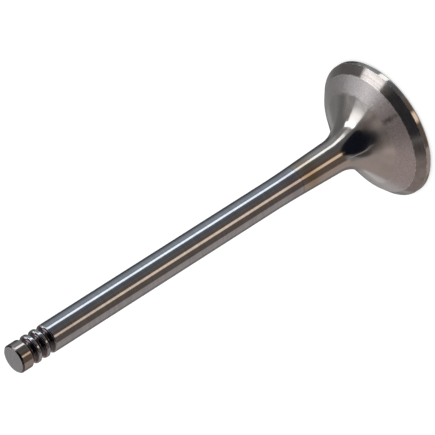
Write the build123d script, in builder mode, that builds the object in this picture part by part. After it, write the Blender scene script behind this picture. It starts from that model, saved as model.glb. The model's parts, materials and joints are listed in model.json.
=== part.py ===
from build123d import *
from math import cos, radians, sin, tan
import os

# Engine poppet valve: one forged bar, turned and ground all over, so one revolved section.
# Millimetres. The origin is the centre of the head's flat face, and +Z runs up the stem to the tip.

# Stem and tip
stem_diameter = 9.0
overall_length = 143.6  # head face to tip face
tip_chamfer = 0.45

# Keeper grooves: round-bottomed, with the lands between them at the full stem diameter
groove_count = 3
groove_pitch = 3.15
first_groove_depth = 4.9  # tip face down to the middle of the first groove
groove_radius = 1.0
groove_edge_radius = 0.35

# Neck
neck_height = 40.5  # head face up to where the parallel stem begins to widen
taper_angle = 2.1  # each side of the axis
taper_blend_radius = 260.0
neck_radius = 11.0
flare_angle = 39.0  # from the plane of the head, where the neck radius ends
flare_diameter = 22.5  # where the flare would meet the underhead cone
flare_blend_radius = 50.0
underhead_angle = 34.0  # from the plane of the head

# Head
head_diameter = 44.2
seat_angle = 45.0
seat_face_width = 3.5  # along the slope of the seat
margin_height = 2.0  # straight rim, with its chamfer
face_chamfer = 0.6

stem_radius = stem_diameter / 2
head_radius = head_diameter / 2

# The seat climbs from the top of the margin to the foot of the underhead cone.
seat_top_radius = head_radius - seat_face_width * cos(radians(seat_angle))
seat_top_height = margin_height + seat_face_width * sin(radians(seat_angle))

# The underhead cone steepens into the flare, with a large radius between them.
underhead_rise = tan(radians(underhead_angle))
flare_corner_radius = flare_diameter / 2
flare_corner_height = seat_top_height + (seat_top_radius - flare_corner_radius) * underhead_rise

# The flare and the neck taper meet at a corner, which neck_radius rounds.
flare_rise = tan(radians(flare_angle))
taper_spread = tan(radians(taper_angle))
flare_apex_height = flare_corner_height + flare_corner_radius * flare_rise
neck_growth = (neck_height - flare_apex_height) * taper_spread
neck_corner_radius = (stem_radius + neck_growth) / (1 - flare_rise * taper_spread)
neck_corner_height = flare_apex_height - neck_corner_radius * flare_rise

# The flare's blend fits on the length that the neck radius leaves of the flare.
flare_length = (flare_corner_radius - neck_corner_radius) / cos(radians(flare_angle))
neck_turn = radians(90 - flare_angle - taper_angle)
blend_turn = radians(flare_angle - underhead_angle)
blend_room = flare_length - neck_radius * tan(neck_turn / 2)
flare_blend = min(flare_blend_radius, 0.98 * blend_room / tan(blend_turn / 2))

flare_corner = (flare_corner_radius, flare_corner_height)
neck_corner = (neck_corner_radius, neck_corner_height)
taper_corner = (stem_radius, neck_height)
groove_centres = [
    (stem_radius, overall_length - first_groove_depth - i * groove_pitch) for i in range(groove_count)
]

with BuildPart() as valve:
    with BuildSketch(Plane.XZ) as section:
        with BuildLine():
            Polyline(
                (0, 0),
                (head_radius - face_chamfer, 0),
                (head_radius, face_chamfer),
                (head_radius, margin_height),
                (seat_top_radius, seat_top_height),
                flare_corner,
                neck_corner,
                taper_corner,
                (stem_radius, overall_length - tip_chamfer),
                (stem_radius - tip_chamfer, overall_length),
                (0, overall_length),
                close=True,
            )
        make_face()
        fillet(section.vertices().sort_by_distance(flare_corner)[0], flare_blend)
        fillet(section.vertices().sort_by_distance(neck_corner)[0], neck_radius)
        fillet(section.vertices().sort_by_distance(taper_corner)[0], taper_blend_radius)

        with Locations(*groove_centres):
            Circle(groove_radius, mode=Mode.SUBTRACT)
        fillet(section.vertices(Select.LAST), groove_edge_radius)
    revolve(axis=Axis.Z)

valve.part.label = "valve"

os.makedirs("parts", exist_ok=True)
export_step(valve.part, "parts/valve.step")
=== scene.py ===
import json
from collections import namedtuple
from math import acos, ceil, cos, hypot, pi, radians, sin, sqrt, tan

import bmesh
import bpy
from mathutils import Matrix, Vector


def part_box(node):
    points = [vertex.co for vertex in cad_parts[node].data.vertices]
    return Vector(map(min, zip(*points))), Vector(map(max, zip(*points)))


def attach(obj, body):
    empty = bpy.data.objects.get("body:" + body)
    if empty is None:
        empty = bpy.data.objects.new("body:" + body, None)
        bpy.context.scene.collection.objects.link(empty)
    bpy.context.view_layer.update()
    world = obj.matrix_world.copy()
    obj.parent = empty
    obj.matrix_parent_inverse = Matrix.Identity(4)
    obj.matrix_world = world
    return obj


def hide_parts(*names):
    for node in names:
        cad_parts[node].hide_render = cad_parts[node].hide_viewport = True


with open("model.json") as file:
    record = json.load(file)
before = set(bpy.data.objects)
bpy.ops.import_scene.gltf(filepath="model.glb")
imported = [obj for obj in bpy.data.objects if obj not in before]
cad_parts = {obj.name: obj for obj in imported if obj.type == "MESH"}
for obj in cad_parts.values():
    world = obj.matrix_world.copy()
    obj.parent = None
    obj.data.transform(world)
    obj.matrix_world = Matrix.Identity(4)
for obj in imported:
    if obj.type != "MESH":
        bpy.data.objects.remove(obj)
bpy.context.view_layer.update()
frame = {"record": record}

# An engine poppet valve standing on its head. The mesh is in metres, +Z runs up the stem and the origin is
# the middle of the head's flat face. Finishes are laid out in millimetres, as on a shop drawing.
_, HIGHEST_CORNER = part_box("valve")
STEM_MOUNT = next(m for m in frame["record"]["mounts"] if m["name"] == "stem")
MM = 0.001
MICRON = 0.001 * MM

# Stem and tip
LENGTH = HIGHEST_CORNER.z
STEM_RADIUS = STEM_MOUNT["dims"]["r_mm"] * MM
TIP_CHAMFER = 0.45 * MM

# Keeper grooves
GROOVE_COUNT = 3
GROOVE_PITCH = 3.15 * MM
FIRST_GROOVE_DEPTH = 4.9 * MM  # from the tip down to the middle of the nearest groove
FIRST_GROOVE_HEIGHT = LENGTH - FIRST_GROOVE_DEPTH
GROOVE_RADIUS = 1.0 * MM
GROOVE_EDGE_RADIUS = 0.35 * MM

# Neck: a slow taper, a fillet, and a flare that runs into the underhead cone
NECK_HEIGHT = 40.5 * MM
TAPER_ANGLE = radians(2.1)
TAPER_BLEND_RADIUS = 260 * MM
NECK_RADIUS = 11 * MM
FLARE_ANGLE = radians(39)
FLARE_CORNER_RADIUS = 11.25 * MM
FLARE_BLEND_RADIUS = 50 * MM
UNDERHEAD_ANGLE = radians(34)

# Head
HEAD_RADIUS = HIGHEST_CORNER.x
SEAT_ANGLE = radians(45)
SEAT_FACE_WIDTH = 3.5 * MM
MARGIN_HEIGHT = 2 * MM
FACE_CHAMFER = 0.6 * MM

# Heights where a finish gives way to the next
POLISH_END = 8 * MM
PLATING_END = 35.3 * MM

# Heights of the temper colours that heat leaves on the steel
STRAW_HEIGHT = 31.5 * MM
PURPLE_HEIGHT = 38.5 * MM

# The mesh
EDGE_BREAK = 0.08 * MM  # radius left on a turned corner
HOLD = 0.2 * MM  # short first and last facet of a straight, which keep the rest of it shaded flat
ARC_TOLERANCE = 0.0015 * MM  # how far an arc's chords may lie off it
FACE_TOLERANCE = 0.01 * MM  # how far a face may lie off an end, or off the stem, and still belong to it
MERGE_DISTANCE = 0.00001 * MM
SEGMENTS = 240  # facets round the axis


# ---------------------------------------------------------------- section

def draw_line(bm, end, point):
    """Draws the section straight on from its end vertex to point, and returns the new end."""
    start = end.co.copy()
    run = Vector(point) - start
    along = run.normalized()
    stops = [run.length]
    if run.length > 3 * HOLD:
        stops = [HOLD, run.length - HOLD, run.length]
    for stop in stops:
        end = bmesh.ops.extrude_vert_indiv(bm, verts=[end])["verts"][0]
        bmesh.ops.translate(bm, verts=[end], vec=start + along * stop - end.co)
    return end


def draw_arc(bm, end, centre, turn):
    """Carries the section's end round centre, in the XZ plane, and returns the new end."""
    radius = (end.co - Vector(centre)).length
    step = 2 * acos(1 - ARC_TOLERANCE / radius)
    arc = bmesh.ops.spin(
        bm, geom=[end], cent=centre, axis=(0, 1, 0), angle=turn, steps=max(2, ceil(abs(turn) / step))
    )
    return next(v for v in arc["geom_last"] if isinstance(v, bmesh.types.BMVert))


def draw_corner(bm, end, corner, towards, radius):
    """Draws up to a corner and round it, so that the section heads towards the next point."""
    corner = Vector(corner)
    if not radius:
        return draw_line(bm, end, corner)
    before = (corner - end.co).normalized()
    after = (Vector(towards) - corner).normalized()
    turn = before.angle(after)
    side = 1 if before.cross(after).y > 0 else -1
    reach = radius * tan(turn / 2)
    end = draw_line(bm, end, corner - before * reach)
    inward = Vector((before.z, 0, -before.x)) * side
    return draw_arc(bm, end, end.co + inward * radius, side * turn)


def draw_groove(bm, end, height):
    """Draws up the stem and through one keeper groove, whose middle is at height."""
    rise = sqrt((GROOVE_RADIUS + GROOVE_EDGE_RADIUS) ** 2 - GROOVE_EDGE_RADIUS ** 2)
    edge_turn = acos(GROOVE_EDGE_RADIUS / (GROOVE_RADIUS + GROOVE_EDGE_RADIUS))
    edge_centre = STEM_RADIUS - GROOVE_EDGE_RADIUS
    end = draw_line(bm, end, (STEM_RADIUS, 0, height - rise))
    end = draw_arc(bm, end, (edge_centre, 0, height - rise), -edge_turn)
    end = draw_arc(bm, end, (STEM_RADIUS, 0, height), 2 * edge_turn)
    return draw_arc(bm, end, (edge_centre, 0, height + rise), -edge_turn)


def groove_heights():
    """Heights of the grooves' middles, from the lowest up."""
    return [FIRST_GROOVE_HEIGHT - groove * GROOVE_PITCH for groove in reversed(range(GROOVE_COUNT))]


def seat_top():
    """Radius and height of the edge where the seat face meets the underhead cone."""
    radius = HEAD_RADIUS - SEAT_FACE_WIDTH * cos(SEAT_ANGLE)
    height = MARGIN_HEIGHT + SEAT_FACE_WIDTH * sin(SEAT_ANGLE)
    return radius, height


def polish_edge():
    """Where the neck's polish stops on the underhead cone."""
    seat_radius, seat_height = seat_top()
    return seat_radius - (POLISH_END - seat_height) / tan(UNDERHEAD_ANGLE), POLISH_END


def flare_corner():
    """Where the underhead cone would meet the flare, before the flare's blend rounds it."""
    seat_radius, seat_height = seat_top()
    rise = (seat_radius - FLARE_CORNER_RADIUS) * tan(UNDERHEAD_ANGLE)
    return FLARE_CORNER_RADIUS, seat_height + rise


def neck_corner():
    """Where the flare would meet the neck's taper, before the neck radius rounds it."""
    flare_radius, flare_height = flare_corner()
    steepness = tan(FLARE_ANGLE)
    spread = tan(TAPER_ANGLE)
    apex = flare_height + flare_radius * steepness
    radius = (STEM_RADIUS + (NECK_HEIGHT - apex) * spread) / (1 - steepness * spread)
    return radius, apex - radius * steepness


def draw_corners(bm, end, corners):
    """Draws round all the corners but the last, which only says where the one before it heads."""
    for (x, z, radius), (next_x, next_z, _) in zip(corners, corners[1:]):
        end = draw_corner(bm, end, (x, 0, z), (next_x, 0, next_z), radius)
    return end


def draw_section(bm):
    """Half the valve's section, from the middle of the head's face to the middle of the tip."""
    # A corner is how far out it is, its height and the radius that rounds it.
    head = [
        (HEAD_RADIUS - FACE_CHAMFER, 0, EDGE_BREAK),
        (HEAD_RADIUS, FACE_CHAMFER, EDGE_BREAK),
        (HEAD_RADIUS, MARGIN_HEIGHT, EDGE_BREAK),
        (*seat_top(), EDGE_BREAK),
    ]
    neck = [
        (*polish_edge(), 0),
        (*flare_corner(), FLARE_BLEND_RADIUS),
        (*neck_corner(), NECK_RADIUS),
        (STEM_RADIUS, NECK_HEIGHT, TAPER_BLEND_RADIUS),
    ]
    tip = [
        (STEM_RADIUS, LENGTH - TIP_CHAMFER, EDGE_BREAK),
        (STEM_RADIUS - TIP_CHAMFER, LENGTH, EDGE_BREAK),
        (0, LENGTH, 0),
    ]
    end = bmesh.ops.create_vert(bm, co=(0, 0, 0))["vert"][0]
    end = draw_corners(bm, end, head + neck + tip[:1])
    for height in groove_heights():
        end = draw_groove(bm, end, height)
    end = draw_corners(bm, end, tip)
    draw_line(bm, end, (0, 0, LENGTH))


# ---------------------------------------------------------------- wiring of shader trees

class Wiring:
    """Wires one shader tree. Most calls add a node and give back its output, ready for the next call."""

    def __init__(self, tree):
        self.nodes = tree.nodes
        self.links = tree.links

    def feed(self, socket, value):
        """Links another node's output to a socket, or sets the socket to a plain value."""
        if isinstance(value, bpy.types.NodeSocket):
            self.links.new(value, socket)
        else:
            socket.default_value = value

    def add(self, kind, inputs, output=0, **settings):
        """Adds a node of a kind, with its inputs by name or number, and gives back one of its outputs."""
        node = self.nodes.new("ShaderNode" + kind)
        for setting, value in settings.items():
            setattr(node, setting, value)
        for socket, value in inputs.items():
            self.feed(node.inputs[socket], value)
        return None if output is None else node.outputs[output]

    def math(self, operation, first, second=0.0, third=0.0):
        """Works out one step of arithmetic."""
        return self.add("Math", {0: first, 1: second, 2: third}, operation=operation)

    def ramp(self, value, low, high, to_low=0.0, to_high=1.0):
        """Carries value from to_low to to_high, with eased ends, as it goes from low to high."""
        ends = {"Value": value, "From Min": low, "From Max": high, "To Min": to_low, "To Max": to_high}
        return self.add("MapRange", ends, interpolation_type="SMOOTHSTEP")

    def blend(self, share, first, second):
        """Goes from the first value to the second as share goes from 0 to 1."""
        return self.add("Mix", {0: share, 2: first, 3: second}, data_type="FLOAT")

    def tint(self, share, first, second):
        """Goes from the first colour to the second as share goes from 0 to 1."""
        return self.add("Mix", {0: share, 6: first, 7: second}, output=2, data_type="RGBA")

    def stain(self, base, colour, mask, strength):
        """Lays a colour over a base where a mask shows it, as strongly as strength says, from 0 to 1."""
        return self.tint(self.math("MULTIPLY", mask, strength), base, colour)

    def noise(self, point, scale, detail=2.0, roughness=0.5):
        """Smooth noise about 0.5, with as many waves to a unit of point as scale says."""
        spread = {"Vector": point, "Scale": scale, "Detail": detail, "Roughness": roughness}
        return self.add("TexNoise", spread, "Fac")

    def point(self):
        """The point that is being shaded, in millimetres."""
        point = self.add("TexCoord", {}, "Object")
        return self.add("VectorMath", {0: point, "Scale": 1 / MM}, operation="SCALE")

    def parts(self, point):
        """A point's x, y and height."""
        node = self.nodes.new("ShaderNodeSeparateXYZ")
        self.links.new(point, node.inputs[0])
        return node.outputs

    def length(self, x, y):
        """How long a step is that goes x one way and y square to it."""
        return self.math("SQRT", self.math("MULTIPLY_ADD", x, x, self.math("MULTIPLY", y, y)))


# ---------------------------------------------------------------- effects, as node groups for the finishes

WANDER_PER_MM = 0.25  # waves per mm in a line that wanders
AXIS_GAP = 0.05  # in mm: nearer to the axis than this, marks crowd no further together


def new_group(name, inputs, output):
    """Starts a node group: the group, its wiring, its inputs by name, and the socket for its result."""
    group = bpy.data.node_groups.new(name, "ShaderNodeTree")
    for label, value in inputs.items():
        socket = group.interface.new_socket(label, in_out="INPUT", socket_type="NodeSocketFloat")
        socket.default_value = value
    group.interface.new_socket(output, in_out="OUTPUT", socket_type="NodeSocketFloat")
    given = group.nodes.new("NodeGroupInput").outputs
    result = group.nodes.new("NodeGroupOutput").inputs[output]
    return group, Wiring(group), given, result


def make_turning_marks():
    """Rings cut round the axis: each runs part of the way round, then fades into the next."""
    group, wiring, given, result = new_group(
        "turning_marks", {"Marks per mm": 2.0, "Breaks per turn": 6.0, "Seed": 0.0}, "Marks"
    )
    x, y, height = wiring.parts(wiring.point())
    outward = wiring.length(x, y)
    along = wiring.math("SUBTRACT", outward, height)
    line = wiring.math("MULTIPLY_ADD", along, given["Marks per mm"], given["Seed"])
    reach = wiring.math("DIVIDE", given["Breaks per turn"], 2 * pi)
    across = wiring.math("DIVIDE", reach, wiring.math("MAXIMUM", outward, AXIS_GAP))
    round_x = wiring.math("MULTIPLY", x, across)
    round_y = wiring.math("MULTIPLY", y, across)
    place = wiring.add("CombineXYZ", {0: round_x, 1: round_y, 2: line})
    marks = wiring.noise(place, 1.0, detail=2.0, roughness=0.6)
    wiring.feed(result, wiring.ramp(marks, 0.25, 0.75))
    return group


def make_mottle():
    """Cloudy unevenness, of patches about as wide as the size that it is given."""
    group, wiring, given, result = new_group("mottle", {"Size mm": 1.0, "Seed": 0.0}, "Mottle")
    shift = wiring.add("CombineXYZ", {0: given["Seed"], 1: given["Seed"], 2: given["Seed"]})
    point = wiring.add("VectorMath", {0: wiring.point(), 1: shift}, operation="ADD")
    clouds = wiring.noise(point, wiring.math("DIVIDE", 1.0, given["Size mm"]), detail=4.0, roughness=0.6)
    wiring.feed(result, wiring.ramp(clouds, 0.3, 0.7))
    return group


def make_edge_wear():
    """A bright, broken line along a turned edge, where handling has rubbed it."""
    group, wiring, given, result = new_group(
        "edge_wear", {"Edge radius mm": 10.0, "Edge height mm": 0.0, "Width mm": 0.3}, "Wear"
    )
    point = wiring.point()
    x, y, height = wiring.parts(point)
    off_radius = wiring.math("SUBTRACT", wiring.length(x, y), given["Edge radius mm"])
    off_height = wiring.math("SUBTRACT", height, given["Edge height mm"])
    away = wiring.length(off_radius, off_height)
    patches = wiring.ramp(wiring.noise(point, 0.9, detail=3.0), 0.35, 0.65, 0.35, 1.0)
    reach = wiring.math("MULTIPLY", given["Width mm"], patches)
    share = wiring.math("DIVIDE", away, reach)
    wiring.feed(result, wiring.math("MULTIPLY", wiring.ramp(share, 1.0, 0.2), patches))
    return group


def over_line(wiring, given):
    """How far the point is above the group's height, where that wanders up and down round the valve."""
    point = wiring.point()
    _, _, height = wiring.parts(point)
    drift = wiring.math("SUBTRACT", wiring.noise(point, WANDER_PER_MM), 0.5)
    drift = wiring.math("MULTIPLY", drift, 2.0)
    height = wiring.math("MULTIPLY_ADD", drift, given["Wander mm"], height)
    return wiring.math("SUBTRACT", height, given["Height mm"])


def make_ring_band():
    """A soft ring round the valve at one height, as a temper colour leaves, or as painted shade where the
    plating ends.
    """
    group, wiring, given, result = new_group(
        "ring_band", {"Height mm": 30.0, "Half width mm": 1.0, "Wander mm": 0.1}, "Band"
    )
    away = wiring.math("ABSOLUTE", over_line(wiring, given))
    share = wiring.math("DIVIDE", away, given["Half width mm"])
    wiring.feed(result, wiring.ramp(share, 1.0, 0.0))
    return group


def make_finish_line():
    """Where one finish gives way to another: 0 below a height and 1 above it."""
    group, wiring, given, result = new_group(
        "finish_line", {"Height mm": 30.0, "Blur mm": 0.2, "Wander mm": 0.1}, "Above"
    )
    share = wiring.math("DIVIDE", over_line(wiring, given), given["Blur mm"])
    wiring.feed(result, wiring.ramp(share, -1.0, 1.0))
    return group


def make_painted_dark_streak():
    """A painted dark reflection: a streak that lies along the y axis and thins out raggedly."""
    group, wiring, given, result = new_group(
        "painted_dark_streak", {"X mm": 0.0, "Y mm": 0.0, "Half width mm": 0.5, "Half length mm": 2.0}, "Scuff"
    )
    point = wiring.point()
    x, y, _ = wiring.parts(point)
    across = wiring.math("DIVIDE", wiring.math("SUBTRACT", x, given["X mm"]), given["Half width mm"])
    along = wiring.math("DIVIDE", wiring.math("SUBTRACT", y, given["Y mm"]), given["Half length mm"])
    fray = wiring.math("SUBTRACT", wiring.noise(point, 1.2), 0.5)
    away = wiring.math("ADD", wiring.length(across, along), fray)
    wiring.feed(result, wiring.ramp(away, 1.0, 0.0))
    return group


EFFECTS = {
    "turning_marks": make_turning_marks(),
    "mottle": make_mottle(),
    "edge_wear": make_edge_wear(),
    "ring_band": make_ring_band(),
    "finish_line": make_finish_line(),
    "painted_dark_streak": make_painted_dark_streak(),
}


def effect(wiring, name, **inputs):
    """Places an effect's group in a finish, and returns its result. Inputs are named with underscores."""
    named = {label.replace("_", " "): value for label, value in inputs.items()}
    return wiring.add("Group", named, node_tree=EFFECTS[name])


# ---------------------------------------------------------------- finishes

def rgb(red, green, blue):
    """A colour as shader sockets take it, opaque."""
    return (red, green, blue, 1)


QUARTER_TURN = 0.25  # as the shader counts turns

# The darker and the lighter end of each finish
PLATE = (rgb(0.48, 0.51, 0.56), rgb(0.57, 0.60, 0.65))
POLISHED_STEEL = (rgb(0.55, 0.52, 0.50), rgb(0.62, 0.59, 0.57))
SATIN_STEEL = (rgb(0.42, 0.39, 0.395), rgb(0.74, 0.70, 0.71))
# dark turned steel, darkened further as painted shade for the keeper grooves' hollows
DARK_STEEL_AND_GROOVE_SHADE = (rgb(0.12, 0.10, 0.11), rgb(0.19, 0.165, 0.175))
SEAT_STEEL = (rgb(0.31, 0.285, 0.275), rgb(0.40, 0.37, 0.36))
MARGIN_STEEL = (rgb(0.56, 0.54, 0.52), rgb(0.64, 0.62, 0.60))
FACE_STEEL = (rgb(0.50, 0.48, 0.48), rgb(0.60, 0.58, 0.57))
TIP_STEEL = (rgb(0.66, 0.64, 0.66), rgb(0.76, 0.74, 0.76))

# What stains the steel or is laid on it, and what is painted on it as shade or reflection
PURPLE_TEMPER = rgb(0.42, 0.37, 0.44)
BROWN_TEMPER = rgb(0.49, 0.44, 0.41)
STRAW_TEMPER = rgb(0.49, 0.40, 0.29)
# painted shade: a dark ring standing in for the shade of a small step where the plating ends
PAINTED_STEP_SHADE = rgb(0.25, 0.23, 0.24)
SATIN_CLOUD = rgb(0.60, 0.55, 0.55)
SATIN_RINGS = rgb(0.57, 0.53, 0.53)
SATIN_EDGE = rgb(0.58, 0.55, 0.54)
# painted dark reflection, streaked across the satin underhead
PAINTED_DARK_REFLECTION = rgb(0.25, 0.22, 0.22)
GROOVE_RIM = rgb(0.40, 0.37, 0.37)
SEAT_WEAR = rgb(0.78, 0.76, 0.74)
MARGIN_WEAR = rgb(0.76, 0.74, 0.71)
FACE_CLOUD = rgb(0.46, 0.44, 0.45)
TIP_WEAR = rgb(0.82, 0.80, 0.81)


def steel(name, drawn_out=0.0):
    """Starts a bare steel finish: its material, its wiring and its shader's sockets.

    Marks that run round the valve draw its highlights out across them, by a share from 0 to 1.
    """
    material = bpy.data.materials.new(name)
    material.use_nodes = True
    wiring = Wiring(material.node_tree)
    shader = material.node_tree.nodes["Principled BSDF"].inputs
    shader["Metallic"].default_value = 1
    if drawn_out:
        shader["Anisotropic"].default_value = drawn_out
        shader["Anisotropic Rotation"].default_value = QUARTER_TURN
        wiring.feed(shader["Tangent"], wiring.add("Tangent", {}, direction_type="RADIAL", axis="Z"))
    return material, wiring, shader


def roughen(wiring, shader, height, depth):
    """Gives the steel its fine relief: depth is in metres, from the bottom of a mark to its top."""
    bump = wiring.add("Bump", {"Height": height, "Distance": depth, "Strength": 1.0})
    wiring.feed(shader["Normal"], bump)


def stem_and_neck():
    """Plated ground stem, and the polished neck below it."""
    material, wiring, shader = steel("stem_and_neck", drawn_out=0.8)
    plating_end = PLATING_END / MM
    plated = effect(wiring, "finish_line", Height_mm=plating_end, Blur_mm=0.2, Wander_mm=0.1)
    # painted shade: the ring where the plating ends, darkened as a small step would shade it
    step = effect(wiring, "ring_band", Height_mm=plating_end, Half_width_mm=0.45, Wander_mm=0.1)
    straw = effect(wiring, "ring_band", Height_mm=STRAW_HEIGHT / MM, Half_width_mm=5.0, Wander_mm=1.5)
    purple = effect(wiring, "ring_band", Height_mm=PURPLE_HEIGHT / MM, Half_width_mm=3.5, Wander_mm=1.5)
    tip_land = effect(
        wiring, "finish_line", Height_mm=FIRST_GROOVE_HEIGHT / MM, Blur_mm=0.3, Wander_mm=0.1
    )
    ground = effect(wiring, "turning_marks", Marks_per_mm=3.0, Breaks_per_turn=5.0)
    bands = effect(wiring, "turning_marks", Marks_per_mm=0.9, Breaks_per_turn=2.5, Seed=40.0)
    cloud = effect(wiring, "mottle", Size_mm=5.0)

    plate = wiring.tint(bands, *PLATE)
    plate = wiring.stain(plate, PURPLE_TEMPER, purple, 0.45)
    plate = wiring.stain(plate, BROWN_TEMPER, tip_land, 0.8)
    polished = wiring.tint(cloud, *POLISHED_STEEL)
    polished = wiring.stain(polished, STRAW_TEMPER, straw, 0.7)
    colour = wiring.tint(plated, polished, plate)
    # lays the painted step shade over the plating's end
    wiring.feed(shader["Base Color"], wiring.stain(colour, PAINTED_STEP_SHADE, step, 0.45))

    plate_roughness = wiring.blend(ground, 0.09, 0.13)
    polished_roughness = wiring.blend(cloud, 0.11, 0.16)
    wiring.feed(shader["Roughness"], wiring.blend(plated, polished_roughness, plate_roughness))
    roughen(wiring, shader, ground, 0.5 * MICRON)
    return material


def satin_underhead():
    """Underside of the head: turned, then blasted to a satin that the neck's polish runs out into."""
    material, wiring, shader = steel("satin_underhead", drawn_out=0.1)
    turned = effect(wiring, "turning_marks", Marks_per_mm=2.2, Breaks_per_turn=8.0, Seed=90.0)
    grain = effect(wiring, "mottle", Size_mm=0.4, Seed=20.0)
    cloud = effect(wiring, "mottle", Size_mm=3.5, Seed=70.0)
    # painted dark reflection: a dark streak across the satin, on the side towards -Y
    painted_dark_streak = effect(wiring, "painted_dark_streak", X_mm=0.3, Y_mm=-16.4, Half_width_mm=1.3, Half_length_mm=5.5)
    polish_end = POLISH_END / MM
    polished = effect(wiring, "finish_line", Height_mm=polish_end - 0.3, Blur_mm=0.5, Wander_mm=0.15)

    satin = wiring.tint(grain, *SATIN_STEEL)
    satin = wiring.stain(satin, SATIN_CLOUD, cloud, 0.4)
    satin = wiring.stain(satin, SATIN_RINGS, turned, 0.35)
    # lays the painted dark reflection over the satin
    satin = wiring.tint(painted_dark_streak, satin, PAINTED_DARK_REFLECTION)
    wiring.feed(shader["Base Color"], wiring.tint(polished, satin, SATIN_EDGE))

    satin_roughness = wiring.blend(grain, 0.29, 0.35)
    wiring.feed(shader["Roughness"], wiring.blend(polished, satin_roughness, 0.15))
    unpolished = wiring.math("SUBTRACT", 1.0, polished)
    relief = wiring.math("MULTIPLY", wiring.math("ADD", turned, grain), unpolished)
    roughen(wiring, shader, relief, 4 * MICRON)
    return material


def turned_groove():
    """Keeper grooves and tip chamfer: left as turned and dark; in the grooves the dark is partly painted
    shade, which lightens towards the grooves' rims.
    """
    material, wiring, shader = steel("turned_groove")
    marks = effect(wiring, "turning_marks", Marks_per_mm=2.5, Breaks_per_turn=4.0, Seed=7.0)
    chamfer_height = (LENGTH - TIP_CHAMFER) / MM
    chamfer = effect(wiring, "finish_line", Height_mm=chamfer_height - 0.1, Blur_mm=0.05, Wander_mm=0.0)
    x, y, _ = wiring.parts(wiring.point())
    stem_radius = STEM_RADIUS / MM
    # painted shade in the grooves: darkest at the bottom, lighter out at the rims
    rim = wiring.ramp(wiring.length(x, y), stem_radius - 0.6, stem_radius - 0.1)
    rim = wiring.math("MULTIPLY", rim, wiring.math("SUBTRACT", 1.0, chamfer))
    colour = wiring.tint(marks, *DARK_STEEL_AND_GROOVE_SHADE)
    wiring.feed(shader["Base Color"], wiring.tint(rim, colour, GROOVE_RIM))
    wiring.feed(shader["Roughness"], wiring.blend(marks, 0.13, 0.20))
    roughen(wiring, shader, marks, 0.5 * MICRON)
    return material


def ground_seat():
    """45 degree seat face: finely ground, with both its edges rubbed bright."""
    material, wiring, shader = steel("ground_seat", drawn_out=0.9)
    shader["Metallic"].default_value = 0.94
    marks = effect(wiring, "turning_marks", Marks_per_mm=4.0, Breaks_per_turn=3.0, Seed=13.0)
    cloud = effect(wiring, "mottle", Size_mm=3.0, Seed=5.0)
    seat_radius, seat_height = (size / MM for size in seat_top())
    inner = effect(
        wiring, "edge_wear", Edge_radius_mm=seat_radius, Edge_height_mm=seat_height, Width_mm=0.35
    )
    outer = effect(
        wiring, "edge_wear",
        Edge_radius_mm=HEAD_RADIUS / MM, Edge_height_mm=MARGIN_HEIGHT / MM, Width_mm=0.3,
    )
    wear = wiring.math("MAXIMUM", inner, outer)
    colour = wiring.tint(cloud, *SEAT_STEEL)
    wiring.feed(shader["Base Color"], wiring.tint(wear, colour, SEAT_WEAR))
    ground_roughness = wiring.blend(marks, 0.14, 0.21)
    wiring.feed(shader["Roughness"], wiring.blend(wear, ground_roughness, 0.3))
    roughen(wiring, shader, marks, 0.6 * MICRON)
    return material


def turned_margin():
    """Cylindrical rim of the head and its chamfer, turned and left with fine rings."""
    material, wiring, shader = steel("turned_margin", drawn_out=0.7)
    marks = effect(wiring, "turning_marks", Marks_per_mm=5.0, Breaks_per_turn=6.0, Seed=29.0)
    cloud = effect(wiring, "mottle", Size_mm=2.0, Seed=11.0)
    wear = effect(
        wiring, "edge_wear",
        Edge_radius_mm=HEAD_RADIUS / MM, Edge_height_mm=FACE_CHAMFER / MM, Width_mm=0.3,
    )
    colour = wiring.tint(cloud, *MARGIN_STEEL)
    wiring.feed(shader["Base Color"], wiring.tint(wear, colour, MARGIN_WEAR))
    wiring.feed(shader["Roughness"], wiring.blend(marks, 0.09, 0.15))
    roughen(wiring, shader, marks, 0.8 * MICRON)
    return material


def turned_head_face():
    """Flat combustion face of the head, faced off with rings that close on the middle."""
    material, wiring, shader = steel("turned_head_face", drawn_out=0.6)
    rings = effect(wiring, "turning_marks", Marks_per_mm=2.5, Breaks_per_turn=7.0, Seed=51.0)
    broad = effect(wiring, "turning_marks", Marks_per_mm=0.4, Breaks_per_turn=2.0, Seed=60.0)
    cloud = effect(wiring, "mottle", Size_mm=6.0, Seed=31.0)
    colour = wiring.tint(broad, *FACE_STEEL)
    wiring.feed(shader["Base Color"], wiring.stain(colour, FACE_CLOUD, cloud, 0.3))
    wiring.feed(shader["Roughness"], wiring.blend(rings, 0.24, 0.36))
    roughen(wiring, shader, rings, 3 * MICRON)
    return material


def ground_tip():
    """Flat end of the stem, surface ground in one direction, with its rim rubbed bright."""
    material, wiring, shader = steel("ground_tip")
    x, y, _ = wiring.parts(wiring.point())
    across = wiring.math("MULTIPLY", wiring.math("MULTIPLY_ADD", y, 0.5, x), 3.5)
    along = wiring.math("MULTIPLY", y, 0.25)
    stretched = wiring.add("CombineXYZ", {0: across, 1: along})
    streaks = wiring.ramp(wiring.noise(stretched, 1.0, detail=3.0, roughness=0.65), 0.3, 0.7)
    rim_radius = (STEM_RADIUS - TIP_CHAMFER) / MM
    rim = effect(wiring, "edge_wear", Edge_radius_mm=rim_radius, Edge_height_mm=LENGTH / MM, Width_mm=0.25)
    colour = wiring.tint(streaks, *TIP_STEEL)
    wiring.feed(shader["Base Color"], wiring.tint(rim, colour, TIP_WEAR))
    wiring.feed(shader["Roughness"], wiring.blend(streaks, 0.30, 0.40))
    roughen(wiring, shader, streaks, 2 * MICRON)
    return material


FINISHES = [
    stem_and_neck,
    satin_underhead,
    turned_groove,
    ground_seat,
    turned_margin,
    turned_head_face,
    ground_tip,
]


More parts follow.
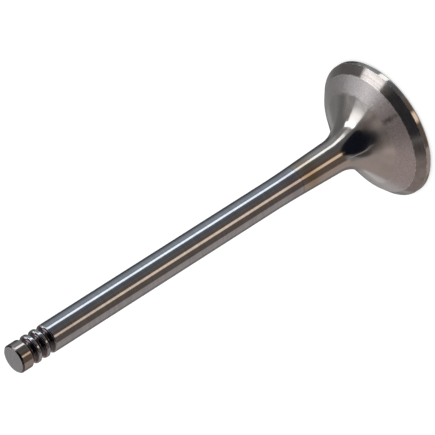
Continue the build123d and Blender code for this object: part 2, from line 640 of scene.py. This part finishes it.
def finish_at(radius, height):
    """Which finish a face has, from how far out and how high its middle is."""
    _, seat_height = seat_top()
    if height < FACE_TOLERANCE:
        return turned_head_face
    if height < MARGIN_HEIGHT:
        return turned_margin
    if height < seat_height:
        return ground_seat
    if height < POLISH_END:
        return satin_underhead
    if height > LENGTH - FACE_TOLERANCE:
        return ground_tip
    if height > LENGTH - TIP_CHAMFER:
        return turned_groove
    in_groove = any(abs(height - middle) < GROOVE_RADIUS for middle in groove_heights())
    if in_groove and radius < STEM_RADIUS - FACE_TOLERANCE:
        return turned_groove
    return stem_and_neck


def put_in_order(bm):
    """Sort the edges and faces by their corners, because a spin leaves them in a new order each run."""
    bm.verts.index_update()
    for pieces in (bm.edges, bm.faces):
        ordered = sorted(pieces, key=lambda piece: sorted(corner.index for corner in piece.verts))
        for place, piece in enumerate(ordered):
            piece.index = place
        pieces.sort()


def make_valve():
    """The whole valve, its section spun once round the axis."""
    bm = bmesh.new()
    draw_section(bm)
    bmesh.ops.spin(
        bm, geom=bm.verts[:] + bm.edges[:], cent=(0, 0, 0), axis=(0, 0, 1),
        angle=2 * pi, steps=SEGMENTS, use_merge=True,
    )
    bmesh.ops.remove_doubles(bm, verts=bm.verts, dist=MERGE_DISTANCE)
    bmesh.ops.recalc_face_normals(bm, faces=bm.faces)
    put_in_order(bm)
    for face in bm.faces:
        middle = face.calc_center_median()
        face.smooth = True
        face.material_index = FINISHES.index(finish_at(hypot(middle.x, middle.y), middle.z))
    mesh = bpy.data.meshes.new("poppet_valve")
    bm.to_mesh(mesh)
    bm.free()
    for finish in FINISHES:
        mesh.materials.append(finish())
    valve = bpy.data.objects.new("poppet_valve", mesh)
    bpy.context.scene.collection.objects.link(valve)
    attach(valve, "root")
    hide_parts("valve")


# ---------------------------------------------------------------- studio

# Curved boards stand round the valve for the steel to mirror. A board hangs in a frame that faces an
# azimuth, from the camera's side towards +X, and an elevation, and is then rolled. Its sweep and rise are
# angles in that frame, as azimuth and elevation are in the upright one, and its edges fade over an angle.
# All angles are in degrees, seen from the boards' centre. A later board stands in front of an earlier one.
Board = namedtuple("Board", "name frame sweep rise fade outline colour strength")

BOARD_CENTRE = 0.05  # height of the boards' centre, on the valve's axis, in metres
BOARD_DISTANCE = 3.0  # how far the first board is from it
BOARD_GAP = 0.02  # how much nearer each next board is
BOARD_STEP = 3  # degrees of a board to a facet

UPRIGHT = (0, 0, 0)
CLOTH_FRAME = (-14, -20, -87)
CLOTH_SHADE_FRAME = (-14, -20, -90)
SOFTBOX_FRAME = (93, 48, -42)

OUTLINE_POWERS = {"round": 2.0, "blunt": 2.4}

WHITE = (1.0, 1.0, 1.0)
COOL = (0.86, 0.93, 1.0)
WARM = (1.0, 0.88, 0.82)
ROSE = (1.0, 0.85, 0.80)
AMBER = (1.0, 0.75, 0.60)
SAND = (1.0, 0.86, 0.78)
TAN = (1.0, 0.77, 0.58)
NAVY = (0.5, 0.6, 1.0)

BOARDS = [
    # the room
    Board("walls", UPRIGHT, (-180, 180), (-90, 90), 0, "square", WHITE, 0.25),
    Board("ceiling", UPRIGHT, (-180, 180), (66, 90), 12, "square", WARM, 0.42),
    Board("ground", UPRIGHT, (-180, 180), (-90, -46), 8, "square", WHITE, 0.30),
    # behind the valve, and above it
    Board("right_back", UPRIGHT, (100, 142), (-12, 30), 12, "square", WHITE, 0.18),
    Board("back_low", UPRIGHT, (160, 200), (-46, -22), 6, "square", WHITE, 0.12),
    Board("back_middle", UPRIGHT, (150, 196), (-22, -8), 6, "square", WHITE, 0.35),
    Board("left_high", UPRIGHT, (-165, -88), (-12, 66), 24, "square", ROSE, 0.41),
    Board("left_top", UPRIGHT, (-124, -60), (55, 78), 10, "square", ROSE, 0.60),
    Board("cloth_top", UPRIGHT, (20, 72), (50, 77), 10, "square", WARM, 0.15),
    Board("back_left_strip", UPRIGHT, (-170, -152), (-8, 12), 8, "square", WHITE, 0.60),
    # low down, from the left round to the right
    Board("left_far", UPRIGHT, (-156, -120), (-46, -16), 8, "square", WARM, 0.24),
    Board("left_wall", UPRIGHT, (-124, -66), (-46, -8), 8, "square", SAND, 0.42),
    Board("left_return", UPRIGHT, (-70, -50), (-46, -16), 6, "square", AMBER, 0.14),
    Board("front_cloth", UPRIGHT, (-54, 18), (-46, -14), 8, "square", AMBER, 0.15),
    Board("right_cloth", UPRIGHT, (18, 58), (-46, 55), 10, "square", WHITE, 0.12),
    Board("strip_glow", UPRIGHT, (44, 60), (-46, 14), 8, "square", COOL, 0.18),
    Board("right_wall", UPRIGHT, (76, 106), (-46, -8), 6, "square", COOL, 0.40),
    Board("right_far", UPRIGHT, (124, 154), (-46, -20), 8, "square", COOL, 0.09),
    Board("over_strip", UPRIGHT, (58, 76), (8, 32), 6, "square", WHITE, 0.55),
    # the dark cloth and its edges
    Board("cloth_shade", CLOTH_SHADE_FRAME, (15, 104), (-22, 60), 16, "round", WARM, 0.08),
    Board("dark_cloth", CLOTH_FRAME, (-3, 98), (-44, 38), 5, "blunt", NAVY, 0.016),
    Board("cloth_hem", UPRIGHT, (-63, -59), (-10, 62), 3, "square", WHITE, 0.42),
    # cards and strip lights
    Board("tan_board", UPRIGHT, (-26, -7), (-36, -22), 4, "round", TAN, 1.25),
    Board("strip_light", UPRIGHT, (55.5, 72.5), (-58, 1), 2, "square", WHITE, 1.7),
    Board("strip_top", UPRIGHT, (55.5, 72.5), (0, 16), 2, "square", WHITE, 1.3),
    Board("back_right_light", UPRIGHT, (133, 150), (37, 52), 4, "square", WHITE, 5.5),
    # the softbox
    Board("softbox_glow", SOFTBOX_FRAME, (-14, 9), (-12, 20), 8, "square", WHITE, 0.22),
    Board("softbox_wing", SOFTBOX_FRAME, (-15, -4), (-18, -8), 5, "square", WHITE, 3.7),
    Board("softbox_low", SOFTBOX_FRAME, (-14, -2), (-10, 15), 3, "square", WHITE, 3.7),
    Board("softbox_high", SOFTBOX_FRAME, (-4, 7.6), (-10, 14.5), 1, "square", WHITE, 1.65),
]

FLOOR_RADIUS = 8  # in metres
FLOOR_COLOUR = (0.85, 0.85, 0.85)
FLOOR_LIFT = 0.55  # what the floor gives off where it is seen, which brings it up to white
WORLD_LEVEL = 0.7  # strength of the even light that falls on everything


def board_frame(azimuth, elevation, roll):
    """Turns a board's own axes to the valve's: -Y looks out at the board, and Z is up the board."""
    turned = Matrix.Rotation(radians(azimuth), 3, "Z") @ Matrix.Rotation(radians(-elevation), 3, "X")
    return turned @ Matrix.Rotation(radians(roll), 3, "Y")


def board_cover(wiring, board):
    """1 on the board and 0 off it, eased over the fade at its edge."""
    point = wiring.add("TexCoord", {}, "Object")
    point = wiring.add("VectorMath", {0: point, 1: (0, 0, BOARD_CENTRE)}, operation="SUBTRACT")
    point = wiring.add("VectorMath", {0: point}, operation="NORMALIZE")
    x, y, z = (
        wiring.add("VectorMath", {0: point, 1: axis}, "Value", operation="DOT_PRODUCT")
        for axis in board_frame(*board.frame).transposed()
    )
    azimuth = wiring.math("DEGREES", wiring.math("ARCTAN2", x, wiring.math("MULTIPLY", y, -1.0)))
    elevation = wiring.math("DEGREES", wiring.math("ARCSINE", z))
    off_rise = wiring.math("ABSOLUTE", wiring.math("SUBTRACT", elevation, sum(board.rise) / 2))
    off_sweep = wiring.math("SUBTRACT", azimuth, sum(board.sweep) / 2)
    off_sweep = wiring.math("ABSOLUTE", wiring.math("WRAP", off_sweep, 180.0, -180.0))
    half_rise = (board.rise[1] - board.rise[0]) / 2
    half_sweep = (board.sweep[1] - board.sweep[0]) / 2
    half_fade = board.fade / 2
    if board.outline == "square":
        across = wiring.ramp(off_rise, half_rise + half_fade, half_rise - half_fade)
        along = wiring.ramp(off_sweep, half_sweep + half_fade, half_sweep - half_fade)
        return wiring.math("MULTIPLY", across, along)
    power = OUTLINE_POWERS[board.outline]
    across = wiring.math("POWER", wiring.math("DIVIDE", off_rise, half_rise), power)
    along = wiring.math("POWER", wiring.math("DIVIDE", off_sweep, half_sweep), power)
    away = wiring.math("POWER", wiring.math("ADD", across, along), 1 / power)
    edge = half_fade / half_rise
    return wiring.ramp(away, 1 + edge, 1 - edge)


def board_light(board):
    """What a board gives off, thinned out towards its edges."""
    material = bpy.data.materials.new(board.name)
    material.use_nodes = True
    material.node_tree.nodes.clear()
    wiring = Wiring(material.node_tree)
    light = wiring.add("Emission", {"Color": rgb(*board.colour), "Strength": board.strength})
    if board.fade:
        clear = wiring.add("BsdfTransparent", {})
        light = wiring.add("MixShader", {0: board_cover(wiring, board), 1: clear, 2: light})
    wiring.add("OutputMaterial", {"Surface": light}, output=None)
    return material


def stage_object(name, bm, material):
    """Puts what a bmesh holds on the stage, as something that isn't part of the valve."""
    mesh = bpy.data.meshes.new(name)
    bm.to_mesh(mesh)
    bm.free()
    mesh.materials.append(material)
    thing = bpy.data.objects.new(name, mesh)
    bpy.context.scene.collection.objects.link(thing)
    return thing


def make_board(order, board):
    """A curved board round the valve that only the steel sees."""
    reach = BOARD_DISTANCE - BOARD_GAP * order
    half_fade = board.fade / 2
    first = board.sweep[0] - half_fade
    last = board.sweep[1] + half_fade
    low = max(-90, board.rise[0] - half_fade)
    high = min(90, board.rise[1] + half_fade)
    centre = (0, 0, BOARD_CENTRE)
    bm = bmesh.new()
    start = (reach * cos(radians(low)), 0, BOARD_CENTRE + reach * sin(radians(low)))
    end = bmesh.ops.create_vert(bm, co=start)["vert"][0]
    bmesh.ops.spin(
        bm, geom=[end], cent=centre, axis=(0, 1, 0),
        angle=-radians(high - low), steps=ceil((high - low) / BOARD_STEP),
    )
    bmesh.ops.rotate(bm, verts=bm.verts, cent=centre, matrix=Matrix.Rotation(radians(first - 90), 3, "Z"))
    bmesh.ops.spin(
        bm, geom=bm.verts[:] + bm.edges[:], cent=centre, axis=(0, 0, 1),
        angle=radians(last - first), steps=ceil((last - first) / BOARD_STEP),
    )
    bmesh.ops.rotate(bm, verts=bm.verts, cent=centre, matrix=board_frame(*board.frame))
    thing = stage_object(board.name, bm, board_light(board))
    thing.visible_camera = False
    thing.visible_diffuse = False
    thing.visible_transmission = False
    thing.visible_shadow = False


def seen_white(wiring):
    """1 for the rays that the camera, metal and glass send, and 0 for the rest."""
    path = wiring.nodes.new("ShaderNodeLightPath").outputs
    seen = wiring.math("MAXIMUM", path["Is Camera Ray"], path["Is Glossy Ray"])
    return wiring.math("MAXIMUM", seen, path["Is Transmission Ray"])


def make_floor():
    """A pale floor that shows white where the valve's shadow doesn't fall."""
    bm = bmesh.new()
    bmesh.ops.create_circle(bm, cap_ends=True, segments=96, radius=FLOOR_RADIUS)
    material = bpy.data.materials.new("pale_floor")
    material.use_nodes = True
    material.node_tree.nodes.clear()
    wiring = Wiring(material.node_tree)
    matt = wiring.add("BsdfDiffuse", {"Color": rgb(*FLOOR_COLOUR)})
    lift = wiring.add("Emission", {"Strength": wiring.math("MULTIPLY", seen_white(wiring), FLOOR_LIFT)})
    both = wiring.add("AddShader", {0: matt, 1: lift})
    wiring.add("OutputMaterial", {"Surface": both}, output=None)
    floor = stage_object("floor", bm, material)
    floor.visible_glossy = False


def make_world():
    """Even light from all round, which the camera sees as white."""
    world = bpy.data.worlds.new("studio")
    bpy.context.scene.world = world
    world.use_nodes = True
    wiring = Wiring(world.node_tree)
    background = world.node_tree.nodes["Background"].inputs
    background["Color"].default_value = rgb(*WHITE)
    wiring.feed(background["Strength"], wiring.blend(seen_white(wiring), WORLD_LEVEL, 1.0))


# ---------------------------------------------------------------- camera

IMAGE_WIDTH = 435  # in pixels
FOCAL_LENGTH = 4811  # in pixels
SENSOR_WIDTH = 36  # in millimetres, as Blender counts it
CAMERA_ELEVATION = radians(28.83)
CAMERA_ROLL = radians(122.42)

# Where the valve's tip is from the camera, in metres
TIP_DISTANCE = 1.362
TIP_LEFT_OF_MIDDLE = 0.05777
TIP_BELOW_MIDDLE = 0.04033


def make_camera():
    """A long lens in front of the valve, rolled so that the stem points down to the left."""
    back = Vector((0, -cos(CAMERA_ELEVATION), sin(CAMERA_ELEVATION)))
    level_right = Vector((1, 0, 0))
    level_up = back.cross(level_right)
    right = cos(CAMERA_ROLL) * level_right - sin(CAMERA_ROLL) * level_up
    up = sin(CAMERA_ROLL) * level_right + cos(CAMERA_ROLL) * level_up
    place = Vector((0, 0, LENGTH)) + TIP_DISTANCE * back
    place = place + TIP_LEFT_OF_MIDDLE * right + TIP_BELOW_MIDDLE * up
    data = bpy.data.cameras.new("camera")
    data.sensor_width = SENSOR_WIDTH
    data.lens = SENSOR_WIDTH * FOCAL_LENGTH / IMAGE_WIDTH
    camera = bpy.data.objects.new("camera", data)
    camera.matrix_world = Matrix((right, up, back)).transposed().to_4x4()
    camera.matrix_world.translation = place
    bpy.context.scene.collection.objects.link(camera)
    bpy.context.scene.camera = camera


make_valve()
for order, board in enumerate(BOARDS):
    make_board(order, board)
make_floor()
make_world()
make_camera()
bpy.context.scene.view_settings.view_transform = "Standard"
